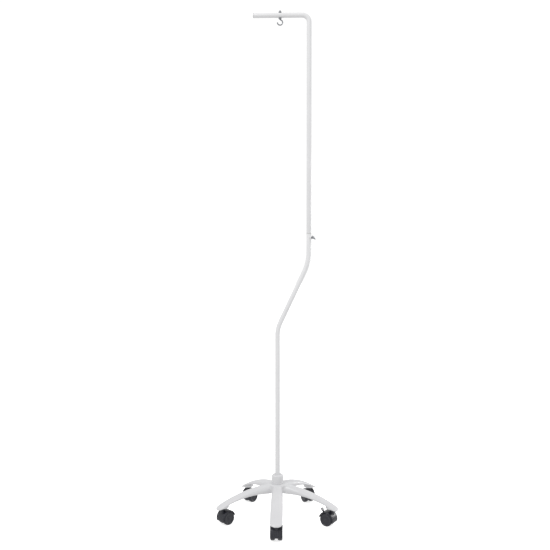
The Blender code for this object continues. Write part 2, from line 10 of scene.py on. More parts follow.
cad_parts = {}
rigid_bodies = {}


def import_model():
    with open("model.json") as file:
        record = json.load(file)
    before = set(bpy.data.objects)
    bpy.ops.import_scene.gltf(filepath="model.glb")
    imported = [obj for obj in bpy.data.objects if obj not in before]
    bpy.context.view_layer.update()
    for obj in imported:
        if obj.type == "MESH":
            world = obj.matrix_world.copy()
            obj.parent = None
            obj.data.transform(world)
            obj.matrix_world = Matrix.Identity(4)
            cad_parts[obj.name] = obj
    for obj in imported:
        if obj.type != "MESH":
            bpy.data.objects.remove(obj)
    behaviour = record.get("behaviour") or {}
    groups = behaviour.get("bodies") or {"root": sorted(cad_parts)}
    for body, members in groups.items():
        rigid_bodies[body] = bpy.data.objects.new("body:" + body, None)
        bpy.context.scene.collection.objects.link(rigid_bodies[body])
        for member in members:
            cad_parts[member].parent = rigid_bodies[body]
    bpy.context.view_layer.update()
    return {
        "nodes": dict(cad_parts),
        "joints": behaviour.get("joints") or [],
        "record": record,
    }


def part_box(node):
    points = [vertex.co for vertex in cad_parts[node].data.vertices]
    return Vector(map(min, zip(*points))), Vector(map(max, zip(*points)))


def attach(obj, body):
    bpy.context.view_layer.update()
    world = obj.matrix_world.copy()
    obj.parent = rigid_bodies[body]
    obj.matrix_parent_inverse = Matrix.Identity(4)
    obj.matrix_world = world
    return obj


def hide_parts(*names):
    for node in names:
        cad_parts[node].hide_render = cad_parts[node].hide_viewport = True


# Camera, in the object's frame. The lens is in millimetres on a 36 mm sensor.
CAMERA_AT = (0.0532, -2.5918, 1.0036)
CAMERA_YAW = 1.3912
CAMERA_DOWN = 1.2096
CAMERA_LENS = 44.02

# Light
FLOOR_GLOW = 0.70
FLOOR_R = 28.0
BACKDROP_GLOW = 1.05
BACKDROP_R = 27.0
SURROUND_LEVEL = (0.72, 0.83)  # from straight below and from straight above
LAMPS = (  # name, place, the point it faces, size and watts
    ("key", (-3.2, -3.4, 6.2), (0, 0, 0.9), 2.0, 140.0),
    ("fill", (3.2, -1.6, 1.4), (0, 0, 0.6), 1.5, 8.0),
    ("rim", (3.0, 1.9, 0.9), (0, 0, 0.5), 1.4, 25.0),
)

# Base
STEM_CIRCLE = 0.218
PAD_R = 0.024
LEG_START = 0.030
LEG_REACH = 0.2425
END_START = 0.214
END_POWER = 3.0
LEG_ROOT_HALF = 0.0201
LEG_WIDENING = 0.0178
CREST_Z = 0.1405
CREST_DROP = 1.28
ARCH_Z = 0.107
ARCH_START = 0.065
ARCH_DROP = 1.565
HUB_R = 0.038
HUB_TOP = 0.1400
HUB_UNDER = 0.1115
SOCKET_Z = 0.0670
SOCKET_TOP = 0.0750
SOCKET_R = 0.0049
RECESS_R = 0.0110
RIM_SLOPE = 0.35
POCKETS = ((0.060, 0.112), (0.118, 0.182))
SHELL = 0.0035
WALL_SHARE = 0.25  # of a leg's height, below its crown
POLE_BORE_R = 0.0175
POLE_BORE_FLOOR = 0.116
BOLT_BORE_R = 0.0045
BOLT_R = 0.0039
BOLT_HEAD_FLATS = 0.013
WASHER_BORE_R = 0.0042
BLEND_VOXEL = 0.0016
FINAL_VOXEL = 0.0015

# Tubes
TUBE_R = 0.0095
TUBE_WALL = 0.0015
TUBE_SIDES = 48
JOINT_RING_R = 0.00775  # of its bore
LOW_BEND = (0.742, 0.115)  # height and radius
HIGH_BEND = (0.999, 0.190)
CORNER_R = 0.026
ARM_Z = 1.9448
HOOK_DROP = 0.0273
HOOK_RING_R = 0.0099
HOOK_RING_START = 62
HOOK_RING_SWEEP = 240
WIRE_R = 0.0025
NUT_FLATS = 0.010
CAP_NUT_THICK = 0.0040

# Lock screw's boss, along its own axis from the pole's
BOSS_R = 0.0055
BOSS_BORE_R = 0.00305
BOSS_BACK = 0.0060
BOSS_FACE = 0.0148
WELD_R = 0.0058

# Casters
TRAIL = 0.0163
HOOD_R = 0.0303
WELL_R = 0.0262
HOOD_HALF = 0.0225
WEB_HALF = 0.0038
HOOD_CUT_TILT = 16.0
NECK_TOP = 0.0654
NECK_R = 0.0080
AXLE_BOSS_R = 0.0085
AXLE_BORE_R = 0.00265
STEM_R = 0.0040
STEM_FLANGE_R = 0.0066
STEM_BORE_R = 0.00415
STEM_BORE_FLOOR = 0.0475
WHEEL_IN = 0.0046
WHEEL_OUT = 0.0220
BRAKED = "right"


# ---- Mesh helpers ----

BEVEL_ANGLE = 32.0
BEND_STEPS = 28
THREAD_STEPS = 6  # for each turn of a thread


def at(x, y, z):
    return Matrix.Translation((x, y, z))


def turn(degrees, axis):
    return Matrix.Rotation(math.radians(degrees), 4, axis)


def mesh_of(bm, name):
    bmesh.ops.recalc_face_normals(bm, faces=bm.faces)
    mesh = bpy.data.meshes.new(name)
    bm.to_mesh(mesh)
    bm.free()
    return mesh


def moved(mesh, matrix):
    mesh.transform(matrix)
    return mesh


def copied(mesh, matrix=None):
    copy = mesh.copy()
    return moved(copy, matrix) if matrix else copy


def merged(name, meshes):
    """Several meshes as one, their surfaces left as they are."""
    bm = bmesh.new()
    for mesh in meshes:
        bm.from_mesh(mesh)
    made = bpy.data.meshes.new(name)
    bm.to_mesh(made)
    bm.free()
    return made


def with_modifiers(mesh, *settings):
    """The mesh after a stack of modifiers, each given as (type, {setting: value})."""
    obj = bpy.data.objects.new("work", mesh)
    bpy.context.scene.collection.objects.link(obj)
    for kind, values in settings:
        modifier = obj.modifiers.new(kind, kind)
        for key, value in values.items():
            setattr(modifier, key, value)
    bpy.context.view_layer.update()
    graph = bpy.context.evaluated_depsgraph_get()
    result = bpy.data.meshes.new_from_object(obj.evaluated_get(graph))
    result.name = mesh.name
    bpy.data.objects.remove(obj)
    return result


def combined(mesh, operation, other):
    """The exact union, difference or intersection of two meshes."""
    tool = bpy.data.objects.new("tool", other)
    bpy.context.scene.collection.objects.link(tool)
    values = {"operation": operation, "solver": "EXACT", "object": tool}
    result = with_modifiers(mesh, ("BOOLEAN", values))
    bpy.data.objects.remove(tool)
    return result


def bevelled(mesh, width, segments):
    """The mesh with its sharp edges rounded."""
    values = {
        "width": width,
        "segments": segments,
        "limit_method": "ANGLE",
        "angle_limit": math.radians(BEVEL_ANGLE),
        "use_clamp_overlap": True,
        "harden_normals": True,
    }
    mesh.shade_smooth()
    return with_modifiers(mesh, ("BEVEL", values))


def loft(name, sections, closed=False):
    """A solid through rings of points with the same count; closed joins the last to the first."""
    bm = bmesh.new()
    rings = [[bm.verts.new(point) for point in section] for section in sections]
    count = len(rings[0])
    pairs = list(zip(rings, rings[1:]))
    if closed:
        pairs.append((rings[-1], rings[0]))
    for near, far in pairs:
        for i in range(count):
            j = (i + 1) % count
            bm.faces.new((near[i], near[j], far[j], far[i]))
    if not closed:
        bm.faces.new(rings[0])
        bm.faces.new(rings[-1])
    return mesh_of(bm, name)


def filleted(profile, closed):
    """(radius, height, fillet) corners as points, with each filleted corner turned into an arc."""
    points = []
    count = len(profile)
    for i, corner in enumerate(profile):
        here = Vector(corner[:2])
        fillet = corner[2] if len(corner) > 2 else 0.0
        ends = not closed and i in (0, count - 1)
        if fillet <= 0 or ends:
            points.append(here)
            continue
        back = Vector(profile[i - 1][:2]) - here
        ahead = Vector(profile[(i + 1) % count][:2]) - here
        reach = min(fillet, back.length * 0.49, ahead.length * 0.49)
        start = here + back.normalized() * reach
        end = here + ahead.normalized() * reach
        for k in range(5):
            t = k / 4
            points.append(start * (1 - t) ** 2 + here * 2 * t * (1 - t) + end * t**2)
    return points


def turned(name, profile, steps=64, closed=False):
    """A solid turned about Z from (radius, height, fillet) corners."""
    points = filleted(profile, closed)
    bm = bmesh.new()
    rings = []
    for radius, height in points:
        if radius < 1e-7:
            rings.append([bm.verts.new((0, 0, height))])
            continue
        angles = [2 * math.pi * i / steps for i in range(steps)]
        ring = [(radius * math.cos(a), radius * math.sin(a), height) for a in angles]
        rings.append([bm.verts.new(point) for point in ring])
    pairs = list(zip(rings, rings[1:]))
    if closed:
        pairs.append((rings[-1], rings[0]))
    for near, far in pairs:
        for i in range(steps):
            j = (i + 1) % steps
            face = [near[i % len(near)], near[j % len(near)]]
            face += [far[j % len(far)], far[i % len(far)]]
            bm.faces.new(list(dict.fromkeys(face)))
    return mesh_of(bm, name)


def cylinder(radius, low, high, steps=48, axis="Z"):
    mesh = turned("cylinder", [(0, low), (radius, low), (radius, high), (0, high)], steps)
    if axis == "Y":
        moved(mesh, turn(-90, "X"))
    return mesh


def box(x, y, z):
    bm = bmesh.new()
    bmesh.ops.create_cube(bm, size=1.0)
    size = Matrix.Diagonal((x[1] - x[0], y[1] - y[0], z[1] - z[0], 1.0))
    return moved(mesh_of(bm, "box"), at(sum(x) / 2, sum(y) / 2, sum(z) / 2) @ size)


def rounded_route(corners, radii):
    """The route through the corners as points, with an arc of the given radius at each bend."""
    points = [Vector(corners[0])]
    for before, corner, after, radius in zip(corners, corners[1:], corners[2:], radii):
        corner = Vector(corner)
        back = (Vector(before) - corner).normalized()
        ahead = (Vector(after) - corner).normalized()
        half = back.angle(ahead) / 2
        centre = corner + (back + ahead).normalized() * radius / math.sin(half)
        start = corner + back * radius / math.tan(half) - centre
        end = corner + ahead * radius / math.tan(half) - centre
        for i in range(BEND_STEPS + 1):
            points.append(centre + radius * start.slerp(end, i / BEND_STEPS))
    points.append(Vector(corners[-1]))
    return points


def circle_round(point, ahead, radius, sides):
    """A ring of points about a point of a line that lies in one XZ plane."""
    across = Vector((0, 1, 0)).cross(ahead)
    angles = [2 * math.pi * k / sides for k in range(sides)]
    return [point + radius * (math.cos(a) * across + Vector((0, math.sin(a), 0))) for a in angles]


def swept(name, points, radii, sides):
    """Round sections along points that lie in one XZ plane, each with its own radius."""
    sections = []
    for i, (point, radius) in enumerate(zip(points, radii)):
        before = points[max(i - 1, 0)]
        after = points[min(i + 1, len(points) - 1)]
        sections.append(circle_round(point, (after - before).normalized(), radius, sides))
    return loft(name, sections)


def tube(name, points):
    """A hollow tube with softened ends, through points that lie in one XZ plane."""
    edge = 0.0004
    radius = TUBE_R
    first = (points[1] - points[0]).normalized()
    last = (points[-1] - points[-2]).normalized()
    inner = radius - TUBE_WALL
    ends_in = [points[0] + first * edge, points[0] + first * edge * 0.3, points[0]]
    ends_out = [points[-1], points[-1] - last * edge * 0.3, points[-1] - last * edge]
    out_radii = [radius, radius - edge * 0.3, radius - edge]
    route = ends_in[::-1] + points[1:-1] + ends_out[::-1]
    outer = out_radii[::-1] + [radius] * (len(points) - 2) + out_radii
    sections = []
    for side, spread in ((route, outer), (route[::-1], None)):
        for i, point in enumerate(side):
            ahead = (side[min(i + 1, len(side) - 1)] - side[max(i - 1, 0)]).normalized()
            if spread is None:
                ahead = -ahead
            r = spread[i] if spread else inner
            sections.append(circle_round(point, ahead, r, TUBE_SIDES))
    return loft(name, sections, closed=True)


def threaded(name, radius, depth, pitch, low, high, sides=28):
    """A threaded rod along Z."""
    count = int((high - low) / pitch * THREAD_STEPS)
    sections = []
    for i in range(count + 1):
        z = low + (high - low) * i / count
        fade = min(1.0, (z - low) / pitch, (high - z) / pitch)
        ring = []
        for k in range(sides):
            phase = (z / pitch - k / sides) % 1.0
            crest = abs(2 * phase - 1)
            r = radius - depth * crest - 0.3 * depth * (1 - fade)
            a = 2 * math.pi * k / sides
            ring.append((r * math.cos(a), r * math.sin(a), z))
        sections.append(ring)
    return loft(name, sections)


def nut(name, flats, low, high, bore):
    """A hexagon nut with both faces chamfered."""
    corner = flats / math.sqrt(3)
    block = cylinder(corner, low, high, steps=6)
    block.name = name
    rim = flats / 2 * 0.96
    drop = (corner - rim) * 0.58
    limits = [(0, low), (rim, low), (corner + 1e-4, low + drop), (corner + 1e-4, high - drop)]
    limits += [(rim, high), (0, high)]
    block = combined(block, "INTERSECT", turned("limits", limits, 48))
    if bore:
        block = combined(block, "DIFFERENCE", cylinder(bore, low - 0.01, high + 0.01, 32))
    return bevelled(block, 0.00025, 2)


# ---- Materials ----


def link(tree, a, out, b, into):
    """Joins one node's named output to another node's named input."""
    tree.links.new(a.outputs[out], b.inputs[into])


def noise(tree, coords, scale, detail=3.0, roughness=0.55):
    node = tree.nodes.new("ShaderNodeTexNoise")
    node.inputs["Scale"].default_value = scale
    node.inputs["Detail"].default_value = detail
    node.inputs["Roughness"].default_value = roughness
    link(tree, coords, "Object", node, "Vector")
    return node


def remap(tree, source, out, low, high, start=0.0, end=1.0):
    node = tree.nodes.new("ShaderNodeMapRange")
    node.inputs["From Min"].default_value = start
    node.inputs["From Max"].default_value = end
    node.inputs["To Min"].default_value = low
    node.inputs["To Max"].default_value = high
    link(tree, source, out, node, "Value")
    return node


def finish(name, dark, light, blotch, rough, grain, bump, metallic=0.0, coat=0.0):
    """A surface whose colour and gloss vary slowly and whose fine grain shows as relief.

    dark and light are its colours, blotch the scale of their change, rough the lowest and highest
    roughness, grain the relief's scale and bump its height in metres."""
    made = bpy.data.materials.new(name)
    made.use_nodes = True
    tree = made.node_tree
    shader = tree.nodes["Principled BSDF"]
    shader.inputs["Metallic"].default_value = metallic
    shader.inputs["Coat Weight"].default_value = coat
    shader.inputs["Coat Roughness"].default_value = 0.1
    coords = tree.nodes.new("ShaderNodeTexCoord")
    slow = noise(tree, coords, blotch, 4.0)
    ramp = tree.nodes.new("ShaderNodeValToRGB")
    ramp.color_ramp.elements[0].position = 0.3
    ramp.color_ramp.elements[0].color = (*dark, 1.0)
    ramp.color_ramp.elements[1].position = 0.7
    ramp.color_ramp.elements[1].color = (*light, 1.0)
    link(tree, slow, "Fac", ramp, "Fac")
    link(tree, ramp, "Color", shader, "Base Color")
    gloss = noise(tree, coords, blotch * 5.3, 5.0, 0.65)
    link(tree, remap(tree, gloss, "Fac", *rough, 0.3, 0.7), "Result", shader, "Roughness")
    fine = noise(tree, coords, grain, 2.0, 0.5)
    relief = tree.nodes.new("ShaderNodeBump")
    relief.inputs["Strength"].default_value = 1.0
    relief.inputs["Distance"].default_value = bump
    link(tree, fine, "Fac", relief, "Height")
    link(tree, relief, "Normal", shader, "Normal")
    return made


def worn(material, colour, threshold, strength):
    """Adds scattered scuffs and dust of one colour over a finish."""
    tree = material.node_tree
    shader = tree.nodes["Principled BSDF"]
    coords = next(node for node in tree.nodes if node.type == "TEX_COORD")
    specks = noise(tree, coords, 420.0, 6.0, 0.7)
    amount = remap(tree, specks, "Fac", 0.0, strength, threshold, threshold + 0.12)
    under = shader.inputs["Base Color"].links[0].from_socket
    mix = tree.nodes.new("ShaderNodeMix")
    mix.data_type = "RGBA"
    link(tree, amount, "Result", mix, "Factor")
    tree.links.new(under, mix.inputs["A"])
    mix.inputs["B"].default_value = (*colour, 1.0)
    tree.links.new(mix.outputs["Result"], shader.inputs["Base Color"])
    return material


def build_materials():
    """The finishes by slot. Each has two colours, blotch, roughness range, grain and bump."""
    light = (0.775, 0.775, 0.785), (0.81, 0.81, 0.82)
    paint = finish("white_powder_coat", *light, 9.0, (0.24, 0.34), 900.0, 0.00006, coat=0.25)
    light = (0.660, 0.660, 0.674), (0.700, 0.700, 0.712)
    plastic = finish("white_nylon", *light, 14.0, (0.30, 0.42), 1500.0, 0.00005, coat=0.1)
    worn(plastic, (0.60, 0.59, 0.58), 0.62, 0.22)
    dark = (0.014, 0.015, 0.022), (0.021, 0.022, 0.031)
    black = finish("black_nylon", *dark, 60.0, (0.20, 0.34), 2600.0, 0.00006)
    worn(black, (0.13, 0.13, 0.135), 0.60, 0.25)
    dark = (0.017, 0.018, 0.025), (0.026, 0.027, 0.036)
    tread = finish("grey_tread", *dark, 80.0, (0.26, 0.42), 2200.0, 0.00007)
    worn(tread, (0.16, 0.155, 0.15), 0.57, 0.30)
    grey = (0.25, 0.26, 0.28), (0.38, 0.39, 0.41)
    zinc = finish("zinc_plate", *grey, 160.0, (0.34, 0.48), 3000.0, 0.00004, metallic=1.0)
    light = (0.68, 0.68, 0.66), (0.74, 0.74, 0.72)
    nylon = finish("natural_nylon", *light, 40.0, (0.40, 0.55), 2500.0, 0.00004)
    return {
        "white_paint": paint,
        "white_plastic": plastic,
        "black_plastic": black,
        "grey_tread": tread,
        "zinc": zinc,
        "nylon": nylon,
    }


def show(name, mesh, slot, body, *nodes, angle=35.0):
    """A visible piece that rides on a body and stands for the named CAD nodes."""
    mesh.name = name
    mesh.shade_smooth()
    mesh.set_sharp_from_angle(angle=math.radians(angle))
    mesh.materials.clear()
    mesh.materials.append(MATERIALS[slot])
    obj = bpy.data.objects.new(name, mesh)
    bpy.context.scene.collection.objects.link(obj)
    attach(obj, body)
    if nodes:
        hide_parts(*nodes)
    return obj


# ---- Base ----


def crest(r):
    """The height of a leg's top line, r metres from the pole."""
    return CREST_Z - CREST_DROP * r**2


def arch(r):
    """The height of the curve under a leg."""
    return ARCH_Z - ARCH_DROP * max(0.0, r - ARCH_START) ** 2


def rim(r):
    """The height of the underside at a leg's end."""
    return SOCKET_Z - RIM_SLOPE * max(0.0, r - STEM_CIRCLE)


def leg_half(r):
    """Half of a leg's width."""
    straight = LEG_ROOT_HALF + LEG_WIDENING * min(r, END_START)
    share = max(0.0, r - END_START) / (LEG_REACH - END_START)
    return straight * (1 - share**END_POWER) ** (1 / END_POWER)


def leg_section(r, half, low, high, crown_steps=20):
    """Two bottom corners, upright walls and an elliptical crown."""
    shoulder = low + WALL_SHARE * (high - low)
    section = [(r, -half, low), (r, 0, low), (r, half, low)]
    for i in range(crown_steps + 1):
        angle = math.pi * i / crown_steps
        section.append((r, half * math.cos(angle), shoulder + (high - shoulder) * math.sin(angle)))
    return section


def leg_mesh():
    """One leg along +X, from inside the hub to its round end."""
    stations = [LEG_START + (END_START - LEG_START) * i / 24 for i in range(25)]
    steps = (0.2, 0.35, 0.48, 0.6, 0.7, 0.79, 0.86, 0.92, 0.96, 0.985, 0.998)
    stations += [END_START + (LEG_REACH - END_START) * step for step in steps]
    sections = [leg_section(r, leg_half(r), max(arch(r), rim(r)), crest(r)) for r in stations]
    return loft("leg", sections)


def pad_mesh():
    """The round pad under a leg's end that holds the caster's socket."""
    sections = []
    steps = (-0.995, -0.97, -0.92, -0.84, -0.72, -0.56, -0.38, -0.2)
    steps += (0.0, 0.2, 0.4, 0.6, 0.75, 0.87, 0.95)
    for step in steps:
        r = STEM_CIRCLE + PAD_R * step
        half = min(leg_half(r), PAD_R * math.sqrt(1 - min(0.0, step) ** 2)) - 0.0002
        sections.append(leg_section(r, half, rim(r), crest(r) - 0.0015))
    return loft("pad", sections)


def pocket_mesh(start, end):
    """The hollow under a leg between two distances from the pole."""
    sections = []
    for i in range(7):
        r = start + (end - start) * i / 6
        low, high = arch(r) - 0.006, crest(r) - SHELL
        sections.append(leg_section(r, leg_half(r) - SHELL, low, high, crown_steps=12))
    return loft("pocket", sections)


def base_mesh(azimuths):
    """Legs, pads and hub blended into one moulding, hollow underneath."""
    hub = [(0, HUB_UNDER), (HUB_R, HUB_UNDER, 0.002), (HUB_R, HUB_TOP, 0.004), (0, HUB_TOP)]
    solids = [turned("hub", hub, 96)]
    for azimuth in azimuths:
        spin = turn(azimuth, "Z")
        solids += [copied(leg_mesh(), spin), copied(pad_mesh(), spin)]
    union = with_modifiers(
        merged("base", solids),
        ("REMESH", {"mode": "VOXEL", "voxel_size": BLEND_VOXEL, "adaptivity": 0.0}),
        ("SMOOTH", {"factor": 0.5, "iterations": 10}),
    )
    cutters = []
    for azimuth in azimuths:
        spin = turn(azimuth, "Z")
        cutters += [copied(pocket_mesh(*ends), spin) for ends in POCKETS]
        socket = [(0, 0.050), (RECESS_R, 0.050), (RECESS_R, SOCKET_Z), (SOCKET_R, SOCKET_Z)]
        socket += [(SOCKET_R, SOCKET_TOP), (0, SOCKET_TOP)]
        cutters.append(copied(turned("socket", socket), spin @ at(STEM_CIRCLE, 0, 0)))
    cutters.append(cylinder(POLE_BORE_R, POLE_BORE_FLOOR, HUB_TOP + 0.02))
    cutters.append(cylinder(BOLT_BORE_R, 0.10, 0.13))
    cut = combined(union, "DIFFERENCE", merged("cutters", cutters))
    return with_modifiers(
        cut,
        ("REMESH", {"mode": "VOXEL", "voxel_size": FINAL_VOXEL, "adaptivity": 0.0}),
        ("SMOOTH", {"factor": 0.5, "iterations": 5}),
    )


def add_base():
    """The moulding and what holds the pole in it; gives back the y of the pole's axis."""
    low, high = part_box("pole_socket_bush")
    hub_y = (low.y + high.y) / 2
    azimuths = []
    for name in CASTERS:
        pos = JOINTS[f"swivel_{name}"]["pos_m"]
        azimuths.append(math.degrees(math.atan2(pos[1] - hub_y, pos[0])))
    hub = at(0, hub_y, 0)
    moulding = moved(base_mesh(azimuths), hub)
    show("base_moulding", moulding, "white_plastic", "base", "five_star_base", angle=60)
    collar_r = high.x
    seat = HUB_TOP + 0.0002
    collar = [
        (TUBE_R + 0.00015, high.z, 0.0006),
        (collar_r - 0.0040, high.z, 0.0008),
        (collar_r - 0.0004, high.z - 0.0030, 0.0026),
        (collar_r - 0.0002, seat + 0.0062, 0.0006),
        (collar_r - 0.0010, seat + 0.0052, 0.0004),
        (collar_r - 0.0002, seat + 0.0042, 0.0006),
        (collar_r, seat, 0.0007),
        (0.0172, seat),
        (0.0164, low.z),
        (TUBE_R + 0.00015, low.z),
    ]
    collar_mesh = moved(turned("collar", collar, 96, closed=True), hub)
    show("pole_collar", collar_mesh, "white_plastic", "base", "pole_socket_bush")
    low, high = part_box("foot_washer")
    ring = [(WASHER_BORE_R, high.z), (high.x, high.z, 0.0003), (high.x, low.z, 0.0005)]
    ring.append((WASHER_BORE_R, low.z))
    washer = moved(turned("washer", ring, 48, closed=True), hub)
    show("foot_washer_plated", washer, "zinc", "base", "foot_washer")
    low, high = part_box("foot_bolt")
    head = nut("foot_bolt_head", BOLT_HEAD_FLATS, low.z, low.z + 0.0053, 0)
    shank = cylinder(BOLT_R, low.z + 0.005, high.z, 24)
    bolt = moved(merged("bolt", [head, shank]), hub)
    show("foot_bolt_plated", bolt, "zinc", "base", "foot_bolt")
    return hub_y


# ---- Pole ----


def add_pole(hub_y):
    """The two tubes, the cap on the arm's end and the ring between the tubes."""
    step_x = JOINTS["pole_turn"]["pos_m"][0]
    low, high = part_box("lower_pole")
    corners = [(0, hub_y, low.z), (0, hub_y, LOW_BEND[0])]
    corners += [(step_x, hub_y, HIGH_BEND[0]), (step_x, hub_y, high.z)]
    lower = tube("lower_tube", rounded_route(corners, (LOW_BEND[1], HIGH_BEND[1])))
    show("lower_tube", lower, "white_paint", "base", "lower_pole", angle=50)
    low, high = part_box("upper_pole")
    corners = [(step_x, hub_y, low.z), (step_x, hub_y, ARM_Z), (low.x, hub_y, ARM_Z)]
    upper = tube("upper_tube", rounded_route(corners, (CORNER_R,)))
    show("upper_tube", upper, "white_paint", "upper_pole", "upper_pole", angle=50)

    low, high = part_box("arm_end_cap")
    face = 0.0022
    cap = [
        (0, face),
        (TUBE_R - face, face, 0.0010),
        (TUBE_R, 0.0008, 0.0010),
        (TUBE_R, 0.0003, 0.0002),
        (TUBE_R - TUBE_WALL - 0.0003, 0.0003),
        (TUBE_R - TUBE_WALL - 0.0006, -0.010, 0.0005),
        (0, -0.010),
    ]
    place = at(low.x + face, hub_y, ARM_Z) @ turn(-90, "Y")
    cap_mesh = moved(turned("arm_cap", cap, 48), place)
    show("arm_cap", cap_mesh, "white_plastic", "upper_pole", "arm_end_cap")

    low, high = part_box("pole_joint_ring")
    outer = (high.x - low.x) / 2
    ring = [(JOINT_RING_R, high.z), (outer, high.z, 0.0005), (outer, low.z, 0.0005)]
    ring.append((JOINT_RING_R, low.z))
    ring_mesh = moved(turned("ring", ring, 64, closed=True), at(step_x, hub_y, 0))
    show("joint_ring_moulded", ring_mesh, "nylon", "joint_ring", "pole_joint_ring")


def add_lock_screw():
    """Boss, screw and wings, made along +X from the pole's axis."""
    screw = JOINTS["lock_screw_turn"]
    yaw = math.degrees(math.atan2(screw["axis"][1], screw["axis"][0]))
    place = at(*screw["pos_m"]) @ turn(yaw, "Z")
    lay = turn(90, "Y")
    boss = [(BOSS_BORE_R, BOSS_BACK), (BOSS_R, BOSS_BACK)]
    boss += [(BOSS_R, BOSS_FACE, 0.0008), (BOSS_BORE_R, BOSS_FACE, 0.0003)]
    boss_mesh = copied(turned("boss", boss, 48, closed=True), lay)
    saddle = cylinder(TUBE_R - 0.0003, -0.03, 0.03, 64)
    boss_mesh = combined(boss_mesh, "DIFFERENCE", saddle)
    bead = []
    for i in range(49):
        a = 2 * math.pi * i / 48
        y, z = WELD_R * math.cos(a), WELD_R * math.sin(a)
        bead.append(Vector((math.sqrt(TUBE_R**2 - y * y) + 0.0002, y, z)))
    sections = []
    for i, point in enumerate(bead[:-1]):
        before = bead[i - 1] if i else bead[-2]
        ahead = (bead[i + 1] - before).normalized()
        out = Vector((1, 0, 0))
        side = ahead.cross(out).normalized()
        thick = 0.00085 + 0.00008 * math.sin(11 * i)
        turns = [2 * math.pi * k / 10 for k in range(10)]
        sections.append([point + thick * (math.cos(t) * out + math.sin(t) * side) for t in turns])
    weld = loft("weld", sections, closed=True)
    welded = moved(merged("boss", [boss_mesh, weld]), place)
    show("lock_boss_welded", welded, "white_paint", "base", "lock_boss")

    wing = bevelled(copied(frame["nodes"]["lock_screw"].data), 0.0007, 3)
    thread = threaded("thread", 0.00288, 0.00035, 0.001, 0.0107, 0.0192)
    thread = copied(thread, place @ lay)
    screw_mesh = merged("wing_screw", [wing, thread])
    show("wing_screw", screw_mesh, "zinc", "lock_screw", "lock_screw")


# ---- Hook ----


def add_hook():
    """The threaded hook with its ring in the XZ plane, and the two nuts on its shank."""
    axis = JOINTS["hook_turn"]["pos_m"]
    place = at(axis[0], axis[1], 0)
    low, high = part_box("hook")
    centre = Vector((0, 0, ARM_Z - HOOK_DROP))
    neck = Vector((0, 0, ARM_Z - 0.0120))
    points = [neck, Vector((0, 0, ARM_Z - 0.0145))]
    for i in range(1, 7):
        t = i / 7
        bend = Vector((0, 0, centre.z + HOOK_RING_R + 0.0004))
        side = math.radians(HOOK_RING_START)
        end = centre + HOOK_RING_R * Vector((math.cos(side), 0, math.sin(side)))
        points.append(points[1] * (1 - t) ** 2 + bend * 2 * t * (1 - t) + end * t**2)
    for i in range(37):
        angle = math.radians(HOOK_RING_START - HOOK_RING_SWEEP * i / 36)
        points.append(centre + HOOK_RING_R * Vector((math.cos(angle), 0, math.sin(angle))))
    tip = points[-1]
    ahead = (points[-1] - points[-2]).normalized()
    points += [tip + ahead * 0.0004, tip + ahead * 0.0007]
    radii = [WIRE_R - 0.0003] + [WIRE_R - 0.0001] * (len(points) - 3)
    radii += [WIRE_R * 0.86, WIRE_R * 0.5]
    eye = swept("eye", points, radii, 24)
    shank = threaded("shank", WIRE_R, 0.0003, 0.0008, ARM_Z - 0.0125, high.z)
    show("hook_bolt", moved(merged("hook", [eye, shank]), place), "zinc", "hook", "hook")
    bore = WIRE_R + 0.00012
    shank_end = high.z + 0.0004
    low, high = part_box("hook_nut_under")
    under = nut("hook_nut_under", NUT_FLATS, low.z, high.z, bore)
    show("hook_nut_under_plated", moved(under, place), "zinc", "hook", "hook_nut_under")
    low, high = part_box("hook_nut_top")
    dome_r = NUT_FLATS / 2 - 0.0003
    seat = low.z + CAP_NUT_THICK
    inside = dome_r - 0.0004
    dome = [(0, low.z + 0.0010), (inside, low.z + 0.0010), (inside, seat), (dome_r, seat)]
    for i in range(13):
        angle = math.pi / 2 * i / 12
        height = seat + 0.0004 + (high.z - seat - 0.0004) * math.sin(angle)
        dome.append((dome_r * math.cos(angle), height))
    dome[-1] = (0, high.z)
    cap = nut("hook_nut_top", NUT_FLATS, low.z, seat, 0)
    cap = combined(cap, "UNION", turned("dome", dome, 48))
    cap = combined(cap, "DIFFERENCE", cylinder(bore, low.z - 0.01, shank_end, 32))
    show("hook_nut_top_plated", moved(cap, place), "zinc", "hook", "hook_nut_top")


# ---- Casters ----


def hood_mesh(axle_z):
    """The hood over both wheels: rounded fender, web between the wheels and the stem's neck."""
    to_axle = at(TRAIL, 0, axle_z)
    side = HOOD_HALF
    fender_r = HOOD_R - 0.0002
    barrel = [(0, -side), (fender_r, -side, 0.0040), (fender_r, side, 0.0040), (0, side)]
    hood = copied(turned("hood", barrel, 96), to_axle @ turn(-90, "X"))
    below = box((-0.08, 0.08), (-0.03, 0.03), (-0.08, 0))
    hood = combined(hood, "DIFFERENCE", copied(below, to_axle @ turn(-HOOD_CUT_TILT, "Y")))
    neck = [(0, 0.040), (NECK_R, 0.040), (NECK_R, NECK_TOP, 0.0008), (0, NECK_TOP)]
    boss = copied(cylinder(AXLE_BOSS_R, -WEB_HALF, WEB_HALF, 48, "Y"), to_axle)
    hood = combined(hood, "UNION", turned("neck", neck, 48))
    hood = combined(hood, "UNION", boss)
    well = cylinder(WELL_R, WEB_HALF, 0.03, 96, "Y")
    hood = combined(hood, "DIFFERENCE", copied(well, to_axle))
    hood = combined(hood, "DIFFERENCE", copied(well, to_axle @ turn(180, "X")))
    return combined(hood, "DIFFERENCE", cylinder(STEM_BORE_R, STEM_BORE_FLOOR, 0.08, 32))


